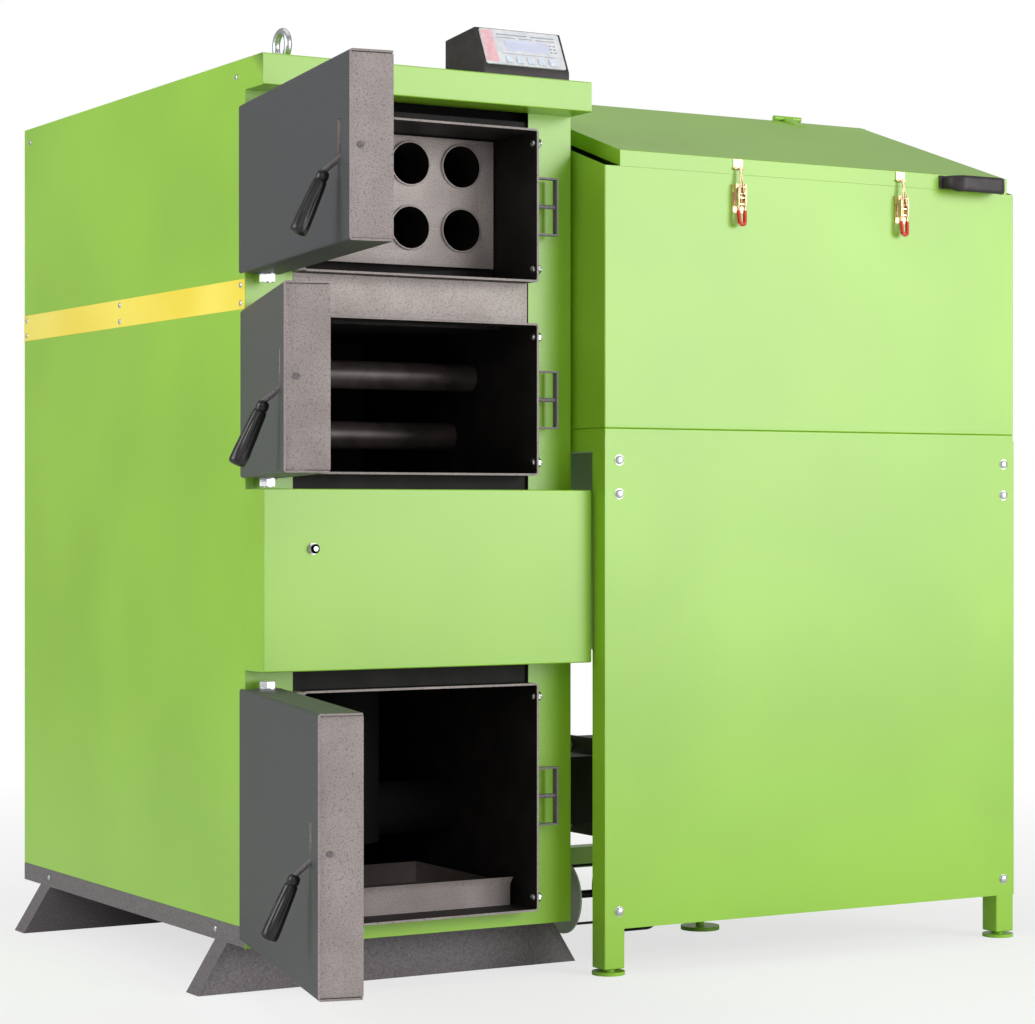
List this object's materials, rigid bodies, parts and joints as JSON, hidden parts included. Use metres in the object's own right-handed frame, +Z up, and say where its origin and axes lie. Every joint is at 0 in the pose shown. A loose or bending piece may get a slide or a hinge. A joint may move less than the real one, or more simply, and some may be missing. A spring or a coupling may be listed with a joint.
{
  "type": "pellet boiler",
  "caption": "Floor-standing pellet boiler with three hinged cleaning doors, ash pan, screw feeder, fan and side hopper with a sloping lid.",
  "frame": {"origin": "middle of the front foot, on its underside, on the boiler's middle line at floor level", "axes": "+Z up, +X to the hopper side, +Y from the doors to the back"},
  "size_m": [2.1932, 2.0988, 1.979],
  "materials": {
    "green_enamel": "semi-gloss",
    "graphite_paint": "fine textured, matt",
    "black_paint": "satin",
    "raw_steel": "blue-grey mill finish",
    "zinc_plate": "bright zinc",
    "yellow_zinc": "yellow passivated zinc",
    "yellow_paint": "gloss",
    "bakelite": "polished black moulding",
    "casing_plastic": "fine moulded",
    "overlay_film": "satin film",
    "button_plastic": "smooth",
    "mineral_wool": "fibrous",
    "rope_seal": "braided glass yarn",
    "cast_iron": "as cast"
  },
  "bodies": {
    "boiler": {"auger_tube": "black_paint", "base_frame": "graphite_paint", "boiler_body": "raw_steel", "burner_retort": "cast_iron", "casing_screws": "zinc_plate", "controller_case": "casing_plastic", "controller_face": "overlay_film", "door_frames": "raw_steel", "eye_bolts": "zinc_plate", "fan_housing": "black_paint", "frame_bolts": "zinc_plate", "gear_motor": "black_paint", "hinge_bolts": "zinc_plate", "hopper_bin": "green_enamel", "hopper_bolts": "zinc_plate", "hopper_front_panel": "green_enamel", "hopper_stand": "green_enamel", "insulation": "mineral_wool", "latch_keepers": "graphite_paint", "left_panel": "green_enamel", "left_stripe": "yellow_paint", "levelling_feet": "green_enamel", "lid_hinges": "green_enamel", "middle_cover": "green_enamel", "rear_connections": "black_paint", "rear_panel": "green_enamel", "right_panel": "green_enamel", "toggle_bases": "yellow_zinc", "top_cover": "green_enamel", "tube_bundle": "raw_steel"},
    "upper_door": {"upper_door_shell": "graphite_paint", "upper_door_lining": "mineral_wool", "upper_door_seal": "rope_seal"},
    "upper_latch": {"upper_latch_lever": "graphite_paint", "upper_latch_handle": "bakelite"},
    "middle_door": {"middle_door_shell": "graphite_paint", "middle_door_lining": "mineral_wool", "middle_door_seal": "rope_seal"},
    "middle_latch": {"middle_latch_lever": "graphite_paint", "middle_latch_handle": "bakelite"},
    "lower_door": {"lower_door_shell": "graphite_paint", "lower_door_lining": "mineral_wool", "lower_door_seal": "rope_seal"},
    "lower_latch": {"lower_latch_lever": "graphite_paint", "lower_latch_handle": "bakelite"},
    "ash_pan": {"ash_pan": "graphite_paint"},
    "button_1": {"controller_button_1": "button_plastic"},
    "button_2": {"controller_button_2": "button_plastic"},
    "button_3": {"controller_button_3": "button_plastic"},
    "button_4": {"controller_button_4": "button_plastic"},
    "button_5": {"controller_button_5": "button_plastic"},
    "lid": {"hopper_lid": "green_enamel", "lid_handle": "bakelite", "latch_strikes": "yellow_zinc"},
    "left_toggle": {"left_toggle_lever": "yellow_zinc"},
    "left_bail": {"left_toggle_bail": "yellow_zinc"},
    "right_toggle": {"right_toggle_lever": "yellow_zinc"},
    "right_bail": {"right_toggle_bail": "yellow_zinc"},
    "auger": {"auger_screw": "raw_steel"},
    "fan_wheel": {"fan_impeller": "black_paint"}
  },
  "joints": [
    {"name": "upper_door_hinge", "type": "hinge", "parent": "boiler", "child": "upper_door", "pos_m": [-0.346, -0.148, 1.6125], "axis": [0, 0, -1], "range_deg": [-99.7, 10]},
    {"name": "upper_latch_pivot", "type": "hinge", "parent": "upper_door", "child": "upper_latch", "pos_m": [-0.48343, -0.77988, 1.6125], "axis": [0.1685, 0.9857, 0], "range_deg": [0, 75]},
    {"name": "middle_door_hinge", "type": "hinge", "parent": "boiler", "child": "middle_door", "pos_m": [-0.346, -0.148, 1.2065], "axis": [0, 0, -1], "range_deg": [-109, 1]},
    {"name": "middle_latch_pivot", "type": "hinge", "parent": "middle_door", "child": "middle_latch", "pos_m": [-0.58374, -0.74936, 1.2065], "axis": [0.3256, 0.9455, 0], "range_deg": [0, 75]},
    {"name": "lower_door_hinge", "type": "hinge", "parent": "boiler", "child": "lower_door", "pos_m": [-0.346, -0.148, 0.37425], "axis": [0, 0, -1], "range_deg": [-104.2, 5.5]},
    {"name": "lower_latch_pivot", "type": "hinge", "parent": "lower_door", "child": "lower_latch", "pos_m": [-0.53258, -0.76715, 0.37425], "axis": [0.2453, 0.9694, 0], "range_deg": [0, 75]},
    {"name": "ash_pan_slide", "type": "slide", "parent": "boiler", "child": "ash_pan", "axis": [0, -1, 0], "range_m": [0, 0.38]},
    {"name": "button_1_press", "type": "slide", "parent": "boiler", "child": "button_1", "axis": [0, 0.9048, -0.4258], "range_m": [0, 0.0015], "stiffness_N_per_m": 400},
    {"name": "button_2_press", "type": "slide", "parent": "boiler", "child": "button_2", "axis": [0, 0.9048, -0.4258], "range_m": [0, 0.0015], "stiffness_N_per_m": 400},
    {"name": "button_3_press", "type": "slide", "parent": "boiler", "child": "button_3", "axis": [0, 0.9048, -0.4258], "range_m": [0, 0.0015], "stiffness_N_per_m": 400},
    {"name": "button_4_press", "type": "slide", "parent": "boiler", "child": "button_4", "axis": [0, 0.9048, -0.4258], "range_m": [0, 0.0015], "stiffness_N_per_m": 400},
    {"name": "button_5_press", "type": "slide", "parent": "boiler", "child": "button_5", "axis": [0, 0.9048, -0.4258], "range_m": [0, 0.0015], "stiffness_N_per_m": 400},
    {"name": "lid_hinge", "type": "hinge", "parent": "boiler", "child": "lid", "pos_m": [0.93975, 0.308, 1.92035], "axis": [-1, 0, 0], "range_deg": [0, 85]},
    {"name": "left_toggle_pivot", "type": "hinge", "parent": "boiler", "child": "left_toggle", "pos_m": [0.725, -0.247, 1.6695], "axis": [-1, 0, 0], "range_deg": [0, 120]},
    {"name": "left_bail_pivot", "type": "hinge", "parent": "left_toggle", "child": "left_bail", "pos_m": [0.725, -0.253, 1.6545], "axis": [-1, 0, 0], "range_deg": [-120, 0]},
    {"name": "right_toggle_pivot", "type": "hinge", "parent": "boiler", "child": "right_toggle", "pos_m": [1.165, -0.247, 1.6695], "axis": [-1, 0, 0], "range_deg": [0, 120]},
    {"name": "right_bail_pivot", "type": "hinge", "parent": "right_toggle", "child": "right_bail", "pos_m": [1.165, -0.253, 1.6545], "axis": [-1, 0, 0], "range_deg": [-120, 0]},
    {"name": "auger_spin", "type": "hinge", "parent": "boiler", "child": "auger", "pos_m": [0.93975, 0.221, 0.326], "axis": [1, 0, 0], "continuous": true},
    {"name": "fan_spin", "type": "hinge", "parent": "boiler", "child": "fan_wheel", "pos_m": [0.76, 0.221, 0.103], "axis": [1, 0, 0], "continuous": true}
  ],
  "couplings": [
    {"joint": "left_bail_pivot", "follows": "left_toggle_pivot", "ratio": -1},
    {"joint": "right_bail_pivot", "follows": "right_toggle_pivot", "ratio": -1}
  ]
}
